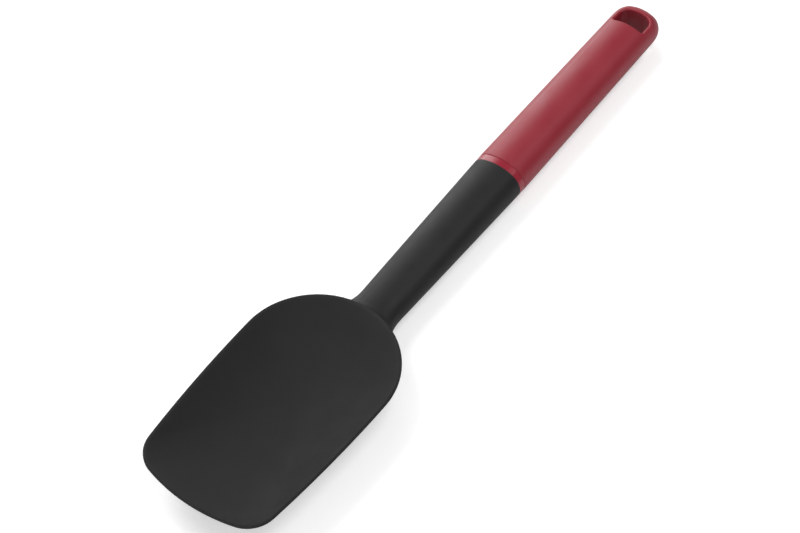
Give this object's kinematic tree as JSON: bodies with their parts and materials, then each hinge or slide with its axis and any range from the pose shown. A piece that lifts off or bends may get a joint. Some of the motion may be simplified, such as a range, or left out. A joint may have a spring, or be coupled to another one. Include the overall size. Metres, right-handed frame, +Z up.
{
  "type": "silicone spatula",
  "caption": "Scoop-shaped silicone spatula with a tapered neck over a stiff core, a bright collar ring and a rounded red handle with a hang hole.",
  "frame": {"origin": "centre of the bounding box, on the table that the spatula lies on", "axes": "+X along the tool from the scoop's tip to the handle's end, +Z up out of the bowl"},
  "size_m": [0.3304, 0.0682, 0.0207],
  "materials": {
    "silicone": "matte",
    "core": "matte",
    "collar": "gloss",
    "grip": "satin"
  },
  "bodies": {
    "root": {"head": "silicone", "core": "core", "collar": "collar", "handle": "grip"}
  },
  "joints": []
}
